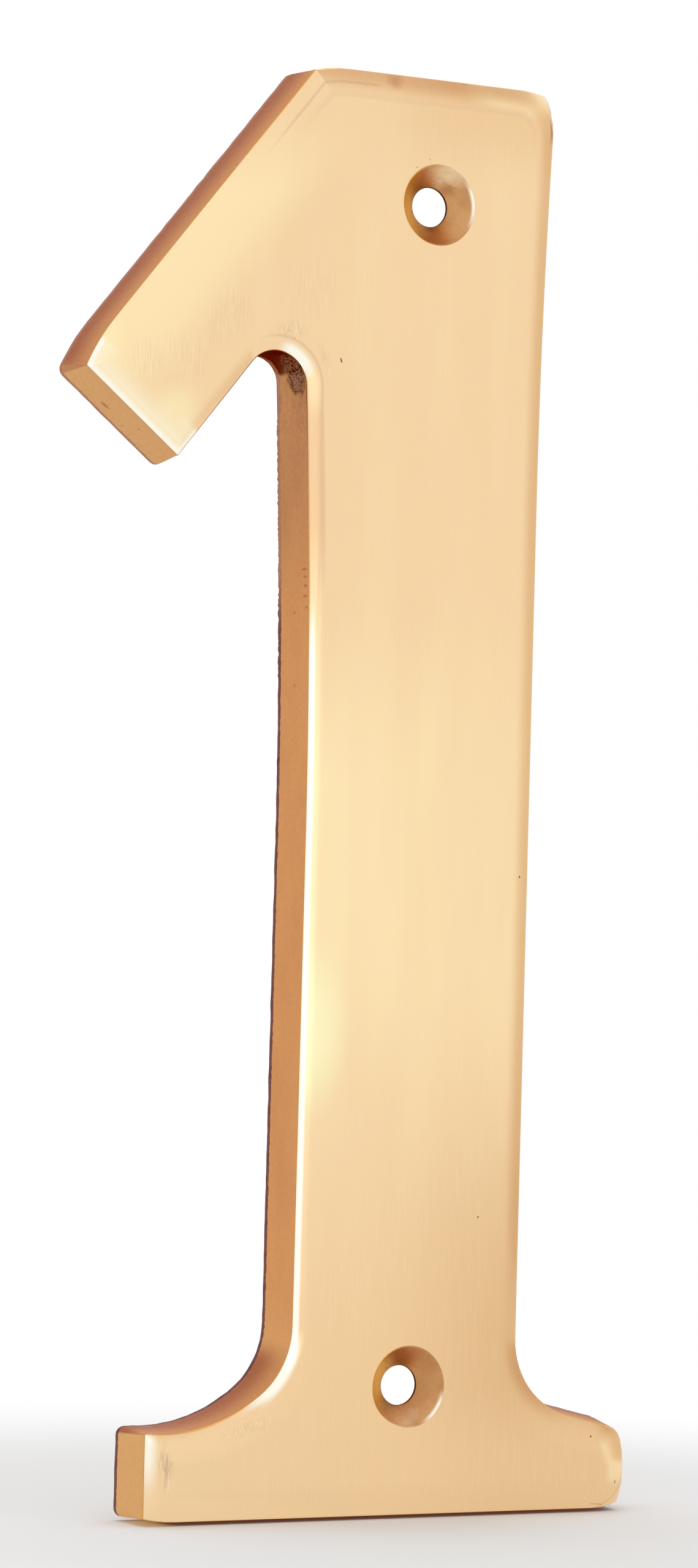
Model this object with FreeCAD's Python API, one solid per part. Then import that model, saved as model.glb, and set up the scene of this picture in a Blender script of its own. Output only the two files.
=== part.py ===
import FreeCAD, Part
import math
import os

from FreeCAD import Vector

# A cast brass door number, the numeral 1. X runs across the front, the wall is the plane
# y = 0 and the polished face looks towards -Y. The origin lies on the wall, midway between
# the two screw holes. Lengths are in millimetres.

# Overall
overall_height = 152.0
wall_depth = 6.7            # from the wall plane to the sharp edge round the face
draft_flare = 0.35          # how much wider every side is at the wall than at the face

# Stem
stem_width = 27.0
waist_radius = 880.0        # both sides of the stem flare out gently towards the top
left_waist_height = 70.0    # the left side is straight below this height
right_waist_height = 108.0  # the right side is straight below this height

# Flag
flag_root = 14.4            # the flag's upper edge leaves the top this far left of the middle
flag_slope = 51.35          # degrees that the flag falls below the horizontal
flag_width = 14.5
flag_length = 42.5          # along the upper edge to the square end
flag_tip_length = 6.0       # the last of the upper edge, which eases down to the tip
flag_tip_radius = 23.0
notch_radius = 3.6
under_flag_flare = 1.1      # the cast underside of the flag stands out more at the wall

# Foot
foot_left = 30.25
foot_right = 27.3
foot_height = 9.1
left_shoulder_radius = 9.0
left_sweep_radius = 17.9
left_sweep_slope = 38.0     # slope in degrees where the shoulder passes into the sweep
right_shoulder_radius = 8.5
right_shoulder_slope = 14.0
right_corner_radius = 1.6
right_shoulder_end = 8.3    # height at which the right slope would meet the end of the foot
right_foot_flare = 0.9      # the right end of the foot stands out more at the wall
ease_radius = 18.0          # the long edges ease away before three of the corners
ease_length = 3.8

# Cast edges, which are rounder at the wall than at the face
back_edge_ease = 0.3
back_corner_radius = 1.0
front_corner_radius = 0.15

# Rolled face
roll_radius = 6.8
roll_edge_slope = 30.0      # degrees by which the face falls away at its sharp edge
dubbed_corner_radius = 5.2  # the right-hand corners are taken down further
roll_slopes = (60, 50, 40, 30, 20, 10, 0)

# Hollow back
plate_thickness = 2.4
rim_width = 2.4
pocket_corner_radius = 1.0
pocket_floor_radius = 0.8

# Screw holes
hole_inset = 13.5           # below the top edge, and above the underside of the foot
hole_diameter = 4.2
countersink_diameter = 8.5
countersink_angle = 90.0
countersink_rim_radius = 0.3

# Worked out from the sizes above
hole_spacing = overall_height - 2 * hole_inset
origin_height = overall_height / 2
stem_half = stem_width / 2
roll_drop = roll_radius * (1 - math.cos(math.radians(roll_edge_slope)))
face_depth = wall_depth + roll_drop
pocket_depth = face_depth - plate_thickness
tool_overrun = 2.0
shortest_edge = 0.1


def unit(degrees):
    return Vector(math.cos(math.radians(degrees)), 0, math.sin(math.radians(degrees)))


def outward(direction):
    # the outline is walked with the metal on its left as the front shows it
    return Vector(direction.z, 0, -direction.x)


def side(x, height, degrees, growth):
    """A straight side through a point, moved outwards by its growth."""
    direction = unit(degrees)
    return Vector(x, 0, height) + outward(direction) * growth, direction


def meet(first, second):
    """The point where two straight sides cross."""
    (p, d), (q, e) = first, second
    gap = q - p
    along = (gap.x * e.z - gap.z * e.x) / (d.x * e.z - d.z * e.x)
    return p + d * along


def meet_circle(straight, centre, radius, near):
    """The crossing of a straight side and a circle that lies nearest to a point."""
    start, direction = straight
    along = (centre - start).dot(direction)
    foot = start + direction * along
    half = math.sqrt(radius ** 2 - (centre - foot).Length ** 2)
    return min((foot + direction * half, foot - direction * half), key=near.distanceToPoint)


def arc(centre, radius, first, last):
    """An arc from its first point to its last, the short way round."""
    middle = (first + last) * 0.5 - centre
    middle = centre + middle * (radius / middle.Length)
    return Part.Arc(first, middle, last).toShape()


def straight(first, last):
    return Part.LineSegment(first, last).toShape()


def round_corner(first, second, radius):
    """The centre and both ends of an arc that touches two straight sides."""
    turn = first[1].x * second[1].z - first[1].z * second[1].x
    inside = -radius if turn > 0 else radius
    moved = [(p + outward(d) * inside, d) for p, d in (first, second)]
    centre = meet(*moved)
    ends = [p + d * (centre - p).dot(d) for p, d in (first, second)]
    return centre, ends[0], ends[1]


def outline(growth, under_growth, foot_growth, inner_notch_radius, corner_radius, dub_radius=None):
    """The numeral's closed outline on the wall plane, grown outwards by the given amounts."""
    bottom = side(0, 0, 0, growth)
    right_end = side(foot_right, 0, 90, foot_growth)
    right_slope = side(foot_right, right_shoulder_end, 180 - right_shoulder_slope, foot_growth)
    stem_right = side(stem_half, 0, 90, growth)
    top = side(0, overall_height, 180, growth)
    flag_top = side(-flag_root, overall_height, 180 + flag_slope, growth)
    flag_start = Vector(-flag_root, 0, overall_height)
    down_flag = unit(180 + flag_slope)
    across_flag = unit(flag_slope - 90)
    end_point = flag_start + down_flag * flag_length
    flag_end = side(end_point.x, end_point.z, flag_slope - 90, growth)
    under_point = flag_start + across_flag * flag_width
    flag_under = side(under_point.x, under_point.z, flag_slope, under_growth)
    stem_left = side(-stem_half, 0, -90, growth)
    foot_top = side(0, foot_height, 180, growth)
    left_end = side(-foot_left, 0, -90, growth)
    ease = ease_radius + growth

    edges = []
    corner_centre, end_top, slope_low = round_corner(right_end, right_slope, corner_radius)

    # bottom, eased towards both corners
    left_ease = Vector(-foot_left + ease_length, 0, ease_radius)
    right_ease = Vector(foot_right - ease_length, 0, ease_radius)
    heel = meet_circle(left_end, left_ease, ease, Vector(-foot_left, 0, 0))
    toe = meet_circle(right_end, right_ease, ease, Vector(foot_right, 0, 0))
    left_bottom = left_ease - Vector(0, 0, ease)
    right_bottom = right_ease - Vector(0, 0, ease)
    edges.append(arc(left_ease, ease, heel, left_bottom))
    if dub_radius is None:
        edges.append(straight(left_bottom, right_bottom))
        edges.append(arc(right_ease, ease, right_bottom, toe))
    else:
        radius = min(dub_radius, end_top.z - bottom[0].z - shortest_edge)
        centre, right_bottom, toe = round_corner(bottom, right_end, radius)
        edges.append(straight(left_bottom, right_bottom))
        edges.append(arc(centre, radius, right_bottom, toe))

    # right end of the foot and the slope up to the stem
    edges.append(straight(toe, end_top))
    edges.append(arc(corner_centre, corner_radius, end_top, slope_low))
    radius = right_shoulder_radius - growth
    centre, slope_high, stem_low = round_corner(right_slope, stem_right, radius)
    edges.append(straight(slope_low, slope_high))
    edges.append(arc(centre, radius, slope_high, stem_low))

    # right side of the stem
    centre = Vector(stem_half + waist_radius, 0, right_waist_height)
    radius = waist_radius - growth
    waist = centre - Vector(radius, 0, 0)
    edges.append(straight(stem_low, waist))
    if dub_radius is None:
        corner = meet_circle(top, centre, radius, Vector(stem_half, 0, overall_height))
        edges.append(arc(centre, radius, waist, corner))
    else:
        dub_height = overall_height + growth - dub_radius
        reach = math.sqrt((radius + dub_radius) ** 2 - (dub_height - centre.z) ** 2)
        dub_centre = Vector(centre.x - reach, 0, dub_height)
        flare_end = centre + (dub_centre - centre) * (radius / (radius + dub_radius))
        corner = dub_centre + Vector(0, 0, dub_radius)
        edges.append(arc(centre, radius, waist, flare_end))
        edges.append(arc(dub_centre, dub_radius, flare_end, corner))

    # top, eased before the flag
    centre = Vector(-flag_root + ease_length, 0, overall_height - ease_radius)
    top_end = centre + Vector(0, 0, ease)
    peak = meet_circle(flag_top, centre, ease, flag_start)
    edges.append(straight(corner, top_end))
    edges.append(arc(centre, ease, top_end, peak))

    # flag
    bend = flag_start + down_flag * (flag_length - flag_tip_length)
    centre = bend + across_flag * flag_tip_radius
    radius = flag_tip_radius + growth
    bend = centre - across_flag * radius
    tip = meet_circle(flag_end, centre, radius, end_point)
    low_corner = meet(flag_end, flag_under)
    edges.append(straight(peak, bend))
    edges.append(arc(centre, radius, bend, tip))
    edges.append(straight(tip, low_corner))

    # notch between flag and stem, touching the flag's underside and the stem's flare
    waist_centre = Vector(-stem_half - waist_radius, 0, left_waist_height)
    waist_circle = waist_radius - growth
    track = (flag_under[0] + outward(flag_under[1]) * inner_notch_radius, flag_under[1])
    apex = Vector(-stem_half, 0, overall_height)
    centre = meet_circle(track, waist_centre, waist_circle - inner_notch_radius, apex)
    under_end = centre - outward(flag_under[1]) * inner_notch_radius
    flare_top = waist_centre + (centre - waist_centre) * (waist_circle / (centre - waist_centre).Length)
    crown = centre + (unit(90 + flag_slope / 2)) * inner_notch_radius
    waist = waist_centre + Vector(waist_circle, 0, 0)
    edges.append(straight(low_corner, under_end))
    edges.append(Part.Arc(under_end, crown, flare_top).toShape())
    edges.append(arc(waist_centre, waist_circle, flare_top, waist))

    # left shoulder, then the longer sweep out over the foot
    first = left_shoulder_radius - growth
    second = left_sweep_radius - growth
    joint = unit(left_sweep_slope - 90)
    sweep_centre_height = foot_height + growth + second
    joint_height = sweep_centre_height + joint.z * second
    shoulder_centre = Vector(stem_left[0].x - first, 0, joint_height - joint.z * first)
    joint_point = shoulder_centre + joint * first
    sweep_centre = joint_point - joint * second
    stem_end = shoulder_centre + Vector(first, 0, 0)
    sweep_end = sweep_centre - Vector(0, 0, second)
    edges.append(straight(waist, stem_end))
    edges.append(arc(shoulder_centre, first, stem_end, joint_point))
    if sweep_end.x > heel.x + shortest_edge:
        foot_corner = meet(foot_top, left_end)
        edges.append(arc(sweep_centre, second, joint_point, sweep_end))
        edges.append(straight(sweep_end, foot_corner))
    else:
        foot_corner = meet_circle(left_end, sweep_centre, second, Vector(-foot_left, 0, 0))
        halfway = (joint_point + foot_corner) * 0.5 - sweep_centre
        split = sweep_centre + halfway.normalize() * second
        edges.append(arc(sweep_centre, second, joint_point, split))
        edges.append(arc(sweep_centre, second, split, foot_corner))
    edges.append(straight(foot_corner, heel))
    return Part.Wire(edges)


def wall_outline(depth, ease=0):
    """The outline at a depth in front of the wall plane, with the draft of the cast sides."""
    share = 1 - depth / wall_depth
    flare = share * draft_flare - ease
    under = share * under_flag_flare - ease
    foot = share * right_foot_flare - ease
    wire = outline(flare, under, foot, notch_radius - under, right_corner_radius + flare)
    wire.translate(Vector(0, -depth, -origin_height))
    return wire


def corner_edges(body, least_angle):
    """The edges that run from back to front where two sides meet at a clear angle."""
    corners = []
    for edge in body.Edges:
        if edge.BoundBox.YLength > pocket_depth:
            point = edge.valueAt((edge.FirstParameter + edge.LastParameter) / 2)
            faces = body.ancestorsOfType(edge, Part.Face)
            first, second = [f.normalAt(*f.Surface.parameter(point)) for f in faces]
            if first.getAngle(second) > math.radians(least_angle):
                corners.append(edge)
    return corners


def cast_sides():
    """The block inside the drafted sides, carried past the face."""
    front = wall_outline(face_depth + tool_overrun)
    sections = [wall_outline(0, back_edge_ease), wall_outline(back_edge_ease), front]
    block = Part.makeLoft(sections, True, True)
    # the corners right of the stem are dubbed instead
    left_corners = [e for e in corner_edges(block, 50) if e.BoundBox.XMax < -stem_half]
    return block.makeFillet(back_corner_radius, front_corner_radius, left_corners)


def roll_contour(slope):
    """The level line of the polished face where it has the given slope in degrees."""
    edge, here = math.radians(roll_edge_slope), math.radians(slope)
    growth = roll_radius * (math.sin(here) - math.sin(edge))
    corner = dubbed_corner_radius + growth
    wire = outline(growth, growth, growth, notch_radius - growth, corner, corner)
    depth = face_depth - roll_radius * (1 - math.cos(here))
    wire.translate(Vector(0, -depth, -origin_height))
    return wire


def rolled_slab():
    """A slab a little larger than the numeral, whose front edge has the roll of the face."""
    contours = [roll_contour(slope) for slope in roll_slopes]
    roll = Part.makeLoft(contours, True, False)
    behind = Vector(0, tool_overrun - contours[0].BoundBox.YMax, 0)
    return roll.fuse(Part.Face(contours[0]).extrude(behind))


def back_pocket():
    """The hollow in the back, inside the rim that meets the wall."""
    inner_notch = notch_radius + rim_width
    wire = outline(-rim_width, -rim_width, -rim_width, inner_notch, pocket_corner_radius)
    wire.translate(Vector(0, tool_overrun, -origin_height))
    pocket = Part.Face(wire).extrude(Vector(0, -pocket_depth - tool_overrun, 0))
    pocket = pocket.makeFillet(pocket_corner_radius, corner_edges(pocket, 20))
    floor = [e for e in pocket.Edges if e.BoundBox.YMax < -pocket_depth + 0.01]
    return pocket.makeFillet(pocket_floor_radius, floor)


def screw_hole(height):
    """The countersunk hole for one screw, as a cutter, at a height above the origin."""
    middle = Vector(0, 0, height)
    cone_length = (countersink_diameter - hole_diameter) / 2 / math.tan(math.radians(countersink_angle / 2))
    bore = Part.makeCylinder(hole_diameter / 2, face_depth + tool_overrun, middle, Vector(0, -1, 0))
    mouth = middle - Vector(0, face_depth, 0)
    cone = Part.makeCone(countersink_diameter / 2, hole_diameter / 2, cone_length, mouth, Vector(0, 1, 0))
    return bore.fuse(cone)


def soften_countersinks(body):
    """Rounds the rim of each countersink, as buffing does."""
    rims = []
    for edge in body.Edges:
        box = edge.BoundBox
        at_face = box.YMax < -face_depth + 0.01
        if at_face and abs(box.XLength - countersink_diameter) < 0.01:
            rims.append(edge)
    return body.makeFillet(countersink_rim_radius, rims)


def numeral():
    body = cast_sides().common(rolled_slab())
    body = body.cut(back_pocket())
    for height in (-hole_spacing / 2, hole_spacing / 2):
        body = body.cut(screw_hole(height))
    body = soften_countersinks(body)
    return body.removeSplitter()


os.makedirs("parts", exist_ok=True)
solid = numeral()
solid.exportStep("parts/numeral.step")
print("volume", round(solid.Volume, 1), "valid", solid.isValid(), "solids", len(solid.Solids))
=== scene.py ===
import math

import bmesh
import bpy
from mathutils import Matrix, Vector


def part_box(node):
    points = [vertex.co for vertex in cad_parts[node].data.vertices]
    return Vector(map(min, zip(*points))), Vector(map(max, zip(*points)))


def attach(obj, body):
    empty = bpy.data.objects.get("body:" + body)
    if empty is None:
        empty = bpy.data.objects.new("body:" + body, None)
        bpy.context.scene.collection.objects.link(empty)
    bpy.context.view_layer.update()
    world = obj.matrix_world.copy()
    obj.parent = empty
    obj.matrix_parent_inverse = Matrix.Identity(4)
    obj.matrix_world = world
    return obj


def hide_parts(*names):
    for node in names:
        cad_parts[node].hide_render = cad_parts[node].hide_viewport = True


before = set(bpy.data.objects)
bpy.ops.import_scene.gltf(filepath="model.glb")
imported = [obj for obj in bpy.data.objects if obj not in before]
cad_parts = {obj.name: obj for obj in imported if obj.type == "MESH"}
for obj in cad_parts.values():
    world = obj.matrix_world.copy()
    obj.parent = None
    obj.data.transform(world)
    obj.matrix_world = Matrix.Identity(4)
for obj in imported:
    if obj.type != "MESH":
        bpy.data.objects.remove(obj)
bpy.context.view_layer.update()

# A brass door number, the figure one. The casting is drawn in millimetres and brought to metres at the end.
# x runs across the front, z up the stem, and the wall is at y = 0 with the face towards -y.

lowCorner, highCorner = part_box("numeral")
millimetre = 0.001
print("frame loaded, box", [round(v / millimetre, 2) for v in (*lowCorner, *highCorner)])


# The casting: sizes in millimetres, heights from the underside of the foot
casting = {
    "height": 152.0,
    "wallDepth": 6.7,
    "draft": 0.35,
    "stemHalf": 13.5,
    "waistRadius": 880.0,
    "leftWaist": 70.0,
    "rightWaist": 108.0,
    "flagRoot": 14.4,
    "flagSlope": 51.35,
    "flagWidth": 14.5,
    "flagLength": 42.5,
    "tipLength": 6.0,
    "tipRadius": 23.0,
    "notchRadius": 3.6,
    "underFlare": 1.1,
    "footLeft": 30.25,
    "footRight": 27.3,
    "footHeight": 9.1,
    "leftShoulder": 9.0,
    "leftSweep": 17.9,
    "sweepSlope": 38.0,
    "rightShoulder": 8.5,
    "rightSlope": 14.0,
    "rightCorner": 1.6,
    "rightEndTop": 8.3,
    "rightFootFlare": 0.9,
    "easeRadius": 18.0,
    "easeLength": 3.8,
    "backEase": 0.3,
    "backCorner": 1.0,      # corners of the sides, round at the wall
    "faceCorner": 0.15,     # and crisp at the face
    "dubbedCorner": 5.2,    # the three right-hand corners are buffed down further
    "rollRadius": 6.8,
    "rollSlope": 30.0,
    "plate": 2.4,
    "rim": 2.4,
    "pocketCorner": 1.0,
    "pocketFillet": 0.8,
    "holeHeight": 62.5,     # above and below the origin
    "boreRadius": 2.1,
    "sinkRadius": 4.25,
    "sinkRound": 0.3,
}

casting["faceDepth"] = casting["wallDepth"] + casting["rollRadius"] * (1 - math.cos(math.radians(casting["rollSlope"])))
casting["pocketDepth"] = casting["faceDepth"] - casting["plate"]

# How many steps each stretch of the outline gets, the same on every ring so that rings can be bridged
outlineSteps = {
    "corner": 4,
    "ease": 3,
    "bottom": 50,
    "rightEnd": 6,
    "rightCorner": 12,
    "dubbed": 12,
    "rightSlope": 7,
    "rightShoulder": 14,
    "rightStem": 88,
    "rightFlare": 44,
    "top": 26,
    "flagTop": 38,
    "tip": 8,
    "flagEnd": 18,
    "under": 18,
    "notch": 44,
    "leftFlare": 280,
    "leftStem": 80,
    "leftShoulder": 12,
    "leftSweep": 16,
    "footTop": 3,
    "leftEnd": 11,
}


def headingOf(degrees):
    return Vector((math.cos(math.radians(degrees)), math.sin(math.radians(degrees))))


def sideLine(x, z, degrees, grow):
    heading = headingOf(degrees)
    return Vector((x, z)) + Vector((heading.y, -heading.x)) * grow, heading


def crossing(first, second):
    (p, d), (q, e) = first, second
    gap = q - p
    return p + d * ((gap.x * e.y - gap.y * e.x) / (d.x * e.y - d.y * e.x))


def circleCrossing(line, centre, radius, near):
    start, heading = line
    foot = start + heading * (centre - start).dot(heading)
    half = math.sqrt(radius ** 2 - (centre - foot).length ** 2)
    return min((foot + heading * half, foot - heading * half), key=lambda p: (p - near).length)


def roundOff(first, second, radius):
    # centre and ends of the arc that touches two lines
    turn = first[1].cross(second[1])
    inside = -radius if turn > 0 else radius
    moved = [(p + Vector((d.y, -d.x)) * inside, d) for p, d in (first, second)]
    centre = crossing(*moved)
    ends = [p + d * (centre - p).dot(d) for p, d in (first, second)]
    return centre, ends[0], ends[1]


def cornerArc(corner, headingIn, headingOut, radius):
    # the small arc that takes the edge off a corner: start, centre and end
    half = headingIn.angle(headingOut) / 2
    reach = radius * math.tan(half)
    start = corner - headingIn * reach
    centre = start + Vector((-headingIn.y, headingIn.x)) * radius
    return start, centre, corner + headingOut * reach


def tangentAt(point, centre):
    # heading of an anticlockwise walk round a centre
    spoke = (point - centre).normalized()
    return Vector((-spoke.y, spoke.x))


def dubCentres():
    # middle of each dubbed corner, its radius on the edge line, and the headings it lies between
    c = casting
    radius = c["dubbedCorner"]
    rightEnd = sideLine(c["footRight"], 0, 90, 0)
    rightSlope = sideLine(c["footRight"], c["rightEndTop"], 180 - c["rightSlope"], 0)
    footMiddle, endTop, slopeLow = roundOff(rightEnd, rightSlope, radius)
    toeRadius = endTop.y - 0.1
    toeMiddle = Vector((c["footRight"] - toeRadius, toeRadius))
    waist = Vector((c["stemHalf"] + c["waistRadius"], c["rightWaist"]))
    topHeight = c["height"] - radius
    reach = math.sqrt((c["waistRadius"] + radius) ** 2 - (topHeight - waist.y) ** 2)
    return [(toeMiddle, -90, toeRadius, 0), (footMiddle, 0, radius, 90 - c["rightSlope"]),
            (Vector((waist.x - reach, topHeight)), 0, radius, 90)]


def outlineOf(grow=0.0, under=None, foot=None, notch=None, corner=0.15, dub=0.15):
    # the outline as a list of (centre or None, end, steps), walked anticlockwise from the heel
    c, n = casting, outlineSteps
    under = grow if under is None else under
    foot = grow if foot is None else foot
    notch = c["notchRadius"] - grow if notch is None else notch

    bottom = sideLine(0, 0, 0, grow)
    rightEnd = sideLine(c["footRight"], 0, 90, foot)
    rightSlope = sideLine(c["footRight"], c["rightEndTop"], 180 - c["rightSlope"], foot)
    stemRight = sideLine(c["stemHalf"], 0, 90, grow)
    top = sideLine(0, c["height"], 180, grow)
    flagTop = sideLine(-c["flagRoot"], c["height"], 180 + c["flagSlope"], grow)
    flagStart = Vector((-c["flagRoot"], c["height"]))
    downFlag, acrossFlag = headingOf(180 + c["flagSlope"]), headingOf(c["flagSlope"] - 90)
    flagFoot = flagStart + downFlag * c["flagLength"]
    flagEnd = sideLine(flagFoot.x, flagFoot.y, c["flagSlope"] - 90, grow)
    underStart = flagStart + acrossFlag * c["flagWidth"]
    flagUnder = sideLine(underStart.x, underStart.y, c["flagSlope"], under)
    footTop = sideLine(0, c["footHeight"], 180, grow)
    leftEnd = sideLine(-c["footLeft"], 0, -90, grow)
    ease = c["easeRadius"] + grow
    path = []

    def line(end, steps):
        path.append((None, end, steps))

    def arc(centre, end, steps):
        path.append((centre, end, steps))

    # underside, eased towards both ends
    leftEase = Vector((-c["footLeft"] + c["easeLength"], c["easeRadius"]))
    rightEase = Vector((c["footRight"] - c["easeLength"], c["easeRadius"]))
    heel = circleCrossing(leftEnd, leftEase, ease, Vector((-c["footLeft"], 0)))
    toe = circleCrossing(rightEnd, rightEase, ease, Vector((c["footRight"], 0)))
    heelIn, heelMiddle, heelOut = cornerArc(heel, leftEnd[1], tangentAt(heel, leftEase), corner)
    begin = heelOut
    arc(leftEase, leftEase - Vector((0, ease)), n["ease"])
    if dub < min(c["easeLength"] - 0.5, c["dubbedCorner"] + grow - 0.1):
        toeIn, toeMiddle, toeOut = cornerArc(toe, tangentAt(toe, rightEase), rightEnd[1], dub)
        line(rightEase - Vector((0, ease)), n["bottom"])
        arc(rightEase, toeIn, n["ease"])
    else:
        toeMiddle, toeIn, toeOut = roundOff(bottom, rightEnd, min(dub, dubCentres()[0][2] + grow))
        line(toeIn - Vector((0.6, 0)), n["bottom"])
        line(toeIn, n["ease"])
    arc(toeMiddle, toeOut, n["dubbed"])

    # right end of the foot, slope and shoulder
    middle, endTop, slopeLow = roundOff(rightEnd, rightSlope, max(c["rightCorner"] + grow, dub))
    line(endTop, n["rightEnd"])
    arc(middle, slopeLow, n["rightCorner"])
    middle, slopeHigh, stemLow = roundOff(rightSlope, stemRight, c["rightShoulder"] - grow)
    line(slopeHigh, n["rightSlope"])
    arc(middle, stemLow, n["rightShoulder"])

    # right side of the stem and the top
    middle = Vector((c["stemHalf"] + c["waistRadius"], c["rightWaist"]))
    radius = c["waistRadius"] - grow
    line(middle - Vector((radius, 0)), n["rightStem"])
    topRight = circleCrossing(top, middle, radius, Vector((c["stemHalf"], c["height"])))
    flareIn, cornerMiddle, flareOut = cornerArc(topRight, -tangentAt(topRight, middle), top[1], dub)
    arc(middle, flareIn, n["rightFlare"])
    arc(cornerMiddle, flareOut, n["dubbed"])
    topEase = Vector((-c["flagRoot"] + c["easeLength"], c["height"] - c["easeRadius"]))
    line(topEase + Vector((0, ease)), n["top"])
    peak = circleCrossing(flagTop, topEase, ease, flagStart)
    peakIn, peakMiddle, peakOut = cornerArc(peak, tangentAt(peak, topEase), flagTop[1], corner)
    arc(topEase, peakIn, n["ease"])
    arc(peakMiddle, peakOut, n["corner"])

    # flag, its tip and its square end
    bend = flagStart + downFlag * (c["flagLength"] - c["tipLength"])
    tipMiddle = bend + acrossFlag * c["tipRadius"]
    radius = c["tipRadius"] + grow
    tip = circleCrossing(flagEnd, tipMiddle, radius, flagFoot)
    tipIn, tipCorner, tipOut = cornerArc(tip, tangentAt(tip, tipMiddle), flagEnd[1], corner)
    lowCorner = crossing(flagEnd, flagUnder)
    lowIn, lowMiddle, lowOut = cornerArc(lowCorner, flagEnd[1], flagUnder[1], corner)
    line(tipMiddle - acrossFlag * radius, n["flagTop"])
    arc(tipMiddle, tipIn, n["tip"])
    arc(tipCorner, tipOut, n["corner"])
    line(lowIn, n["flagEnd"])
    arc(lowMiddle, lowOut, n["corner"])

    # notch under the flag, then the left side of the stem
    waistMiddle = Vector((-c["stemHalf"] - c["waistRadius"], c["leftWaist"]))
    waist = c["waistRadius"] - grow
    away = Vector((flagUnder[1].y, -flagUnder[1].x))
    track = (flagUnder[0] + away * notch, flagUnder[1])
    middle = circleCrossing(track, waistMiddle, waist - notch, Vector((-c["stemHalf"], c["height"])))
    flareTop = waistMiddle + (middle - waistMiddle).normalized() * waist
    line(middle - away * notch, n["under"])
    arc(middle, flareTop, n["notch"])
    arc(waistMiddle, waistMiddle + Vector((waist, 0)), n["leftFlare"])

    # left shoulder, the longer sweep, and the left end of the foot
    first, second = c["leftShoulder"] - grow, c["leftSweep"] - grow
    joint = headingOf(c["sweepSlope"] - 90)
    sweepHeight = c["footHeight"] + grow + second
    shoulderMiddle = Vector((-c["stemHalf"] - grow - first, sweepHeight + joint.y * (second - first)))
    jointPoint = shoulderMiddle + joint * first
    sweepMiddle = jointPoint - joint * second
    line(shoulderMiddle + Vector((first, 0)), n["leftStem"])
    arc(shoulderMiddle, jointPoint, n["leftShoulder"])
    sweepEnd = sweepMiddle - Vector((0, second))
    footCorner = crossing(footTop, leftEnd)
    headingIn = footTop[1]
    shortest = 0.3
    if sweepEnd.x < footCorner.x + shortest + corner:
        # the end of the foot cuts the sweep before it is level
        footCorner = circleCrossing(leftEnd, sweepMiddle, second, footCorner)
        headingIn = -tangentAt(footCorner, sweepMiddle)
        sweepEnd = footCorner - headingIn * (shortest + corner)
    footIn, footMiddle, footOut = cornerArc(footCorner, headingIn, leftEnd[1], corner)
    arc(sweepMiddle, sweepEnd, n["leftSweep"])
    line(footIn, n["footTop"])
    arc(footMiddle, footOut, n["corner"])
    line(heelIn, n["leftEnd"])
    arc(heelMiddle, heelOut, n["corner"])
    return begin, path


def startPiece(name):
    # an empty mesh, open in edit mode
    bpy.ops.object.select_all(action='DESELECT')
    bpy.ops.mesh.primitive_plane_add(size=1)
    piece = bpy.context.object
    piece.name = name
    bpy.ops.object.mode_set(mode='EDIT')
    bpy.ops.mesh.delete(type='VERT')
    return piece


def editedVerts(piece):
    return bmesh.from_edit_mesh(piece.data).verts


def pickVert(piece, place):
    bpy.ops.mesh.select_all(action='DESELECT')
    nearest = min(editedVerts(piece), key=lambda v: (v.co - place).length)
    nearest.select = True
    bmesh.update_edit_mesh(piece.data)


def nameRing(piece, name):
    bpy.ops.object.vertex_group_add()
    piece.vertex_groups.active.name = name
    bpy.ops.object.vertex_group_assign()


def pickRings(piece, *names):
    bpy.ops.mesh.select_all(action='DESELECT')
    for name in names:
        piece.vertex_groups.active_index = piece.vertex_groups[name].index
        bpy.ops.object.vertex_group_select()


def rollDepth(grow):
    # how far the rolled face stands off the wall where the outline has grown or shrunk by this much
    c = casting
    slope = math.asin(min(math.sin(math.radians(c["rollSlope"])) + grow / c["rollRadius"], 1))
    return c["faceDepth"] - c["rollRadius"] * (1 - math.cos(slope))


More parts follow.
